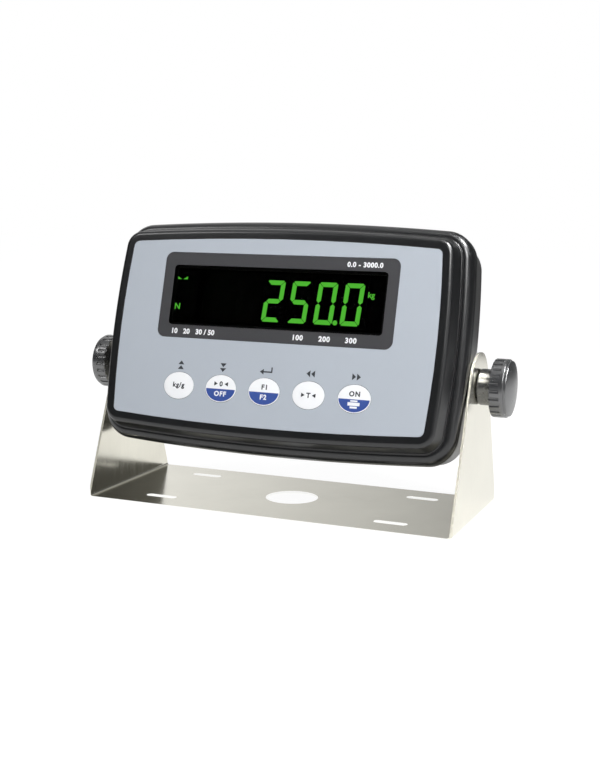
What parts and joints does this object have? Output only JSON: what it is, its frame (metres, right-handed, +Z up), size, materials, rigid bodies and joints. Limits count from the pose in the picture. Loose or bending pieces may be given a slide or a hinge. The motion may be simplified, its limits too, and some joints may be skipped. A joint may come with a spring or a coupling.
{
  "type": "weighing indicator",
  "caption": "Weighing indicator: a sealed plastic head with a lit digit display and round keys, tilting in a bent steel yoke clamped by hand knobs.",
  "frame": {"origin": "centre of the yoke's base, on its underside", "axes": "+X to the right seen from the front, +Y to the back, +Z up"},
  "size_m": [0.2936, 0.1076, 0.1833],
  "materials": {
    "steel": "brushed, polished edges",
    "black_housing": "fine satin moulding",
    "film": "fine matt polyester film",
    "frame_film": "printed film",
    "window": "dark filter",
    "display_black": "matt",
    "lit": "lit",
    "unlit": "unlit",
    "board": "solder mask",
    "parts": "moulded",
    "key": "fine matt film",
    "nylon": "natural nylon",
    "zinc": "zinc plated",
    "rubber": "black",
    "brass": "turned",
    "knob": "glossy moulding",
    "can": "sleeved can"
  },
  "bodies": {
    "bracket": {"yoke_bracket": "steel"},
    "head": {"front_housing": "black_housing", "rear_housing": "black_housing", "housing_gasket": "rubber", "overlay_panel": "film", "display_frame": "frame_film", "display_window": "window", "digit_modules": "display_black", "lit_segments": "lit", "dark_segments": "unlit", "annunciator_blocks": "display_black", "display_board": "board", "display_screws": "zinc", "keypad_board": "board", "keypad_screws": "zinc", "switch_bodies": "parts", "board_connectors": "nylon", "ribbon_cable": "parts", "main_board": "board", "main_board_screws": "zinc", "power_module": "parts", "relays": "parts", "capacitors": "can", "logic_chips": "parts", "terminal_blocks": "board", "case_screws": "zinc", "gland_bodies": "parts", "gland_caps": "parts", "gland_seals": "rubber", "gland_locknuts": "parts", "pivot_insert_left": "brass", "pivot_insert_right": "brass", "friction_pad_left": "rubber", "friction_pad_right": "rubber"},
    "knob_carrier_left": {"knob_washer_left": "zinc"},
    "knob_left": {"knob_left": "knob", "knob_stud_left": "zinc"},
    "knob_carrier_right": {"knob_washer_right": "zinc"},
    "knob_right": {"knob_right": "knob", "knob_stud_right": "zinc"},
    "key_1": {"key_1": "key", "switch_stem_1": "nylon"},
    "key_2": {"key_2": "key", "switch_stem_2": "nylon"},
    "key_3": {"key_3": "key", "switch_stem_3": "nylon"},
    "key_4": {"key_4": "key", "switch_stem_4": "nylon"},
    "key_5": {"key_5": "key", "switch_stem_5": "nylon"}
  },
  "joints": [
    {"name": "head_tilt", "type": "hinge", "parent": "bracket", "child": "head", "pos_m": [0, 0.0025, 0.0848], "axis": [-1, 0, 0], "range_deg": [-60, 75]},
    {"name": "knob_left_travel", "type": "slide", "parent": "head", "child": "knob_carrier_left", "axis": [-1, 0, 0], "range_m": [0, 0.004]},
    {"name": "knob_left_turn", "type": "hinge", "parent": "knob_carrier_left", "child": "knob_left", "pos_m": [-0.135, 0.0025, 0.0848], "axis": [-1, 0, 0], "range_deg": [0, 1440]},
    {"name": "knob_right_travel", "type": "slide", "parent": "head", "child": "knob_carrier_right", "axis": [1, 0, 0], "range_m": [0, 0.004]},
    {"name": "knob_right_turn", "type": "hinge", "parent": "knob_carrier_right", "child": "knob_right", "pos_m": [0.135, 0.0025, 0.0848], "axis": [1, 0, 0], "range_deg": [0, 1440]},
    {"name": "key_1_press", "type": "slide", "parent": "head", "child": "key_1", "axis": [0, 0.9622, -0.2723], "range_m": [0, 0.0004], "stiffness_N_per_m": 2000, "springref_m": -0.0002},
    {"name": "key_2_press", "type": "slide", "parent": "head", "child": "key_2", "axis": [0, 0.9622, -0.2723], "range_m": [0, 0.0004], "stiffness_N_per_m": 2000, "springref_m": -0.0002},
    {"name": "key_3_press", "type": "slide", "parent": "head", "child": "key_3", "axis": [0, 0.9622, -0.2723], "range_m": [0, 0.0004], "stiffness_N_per_m": 2000, "springref_m": -0.0002},
    {"name": "key_4_press", "type": "slide", "parent": "head", "child": "key_4", "axis": [0, 0.9622, -0.2723], "range_m": [0, 0.0004], "stiffness_N_per_m": 2000, "springref_m": -0.0002},
    {"name": "key_5_press", "type": "slide", "parent": "head", "child": "key_5", "axis": [0, 0.9622, -0.2723], "range_m": [0, 0.0004], "stiffness_N_per_m": 2000, "springref_m": -0.0002}
  ],
  "couplings": [
    {"joint": "knob_left_travel", "follows": "knob_left_turn", "m_per_rad": 0.00015915},
    {"joint": "knob_right_travel", "follows": "knob_right_turn", "m_per_rad": 0.00015915}
  ]
}
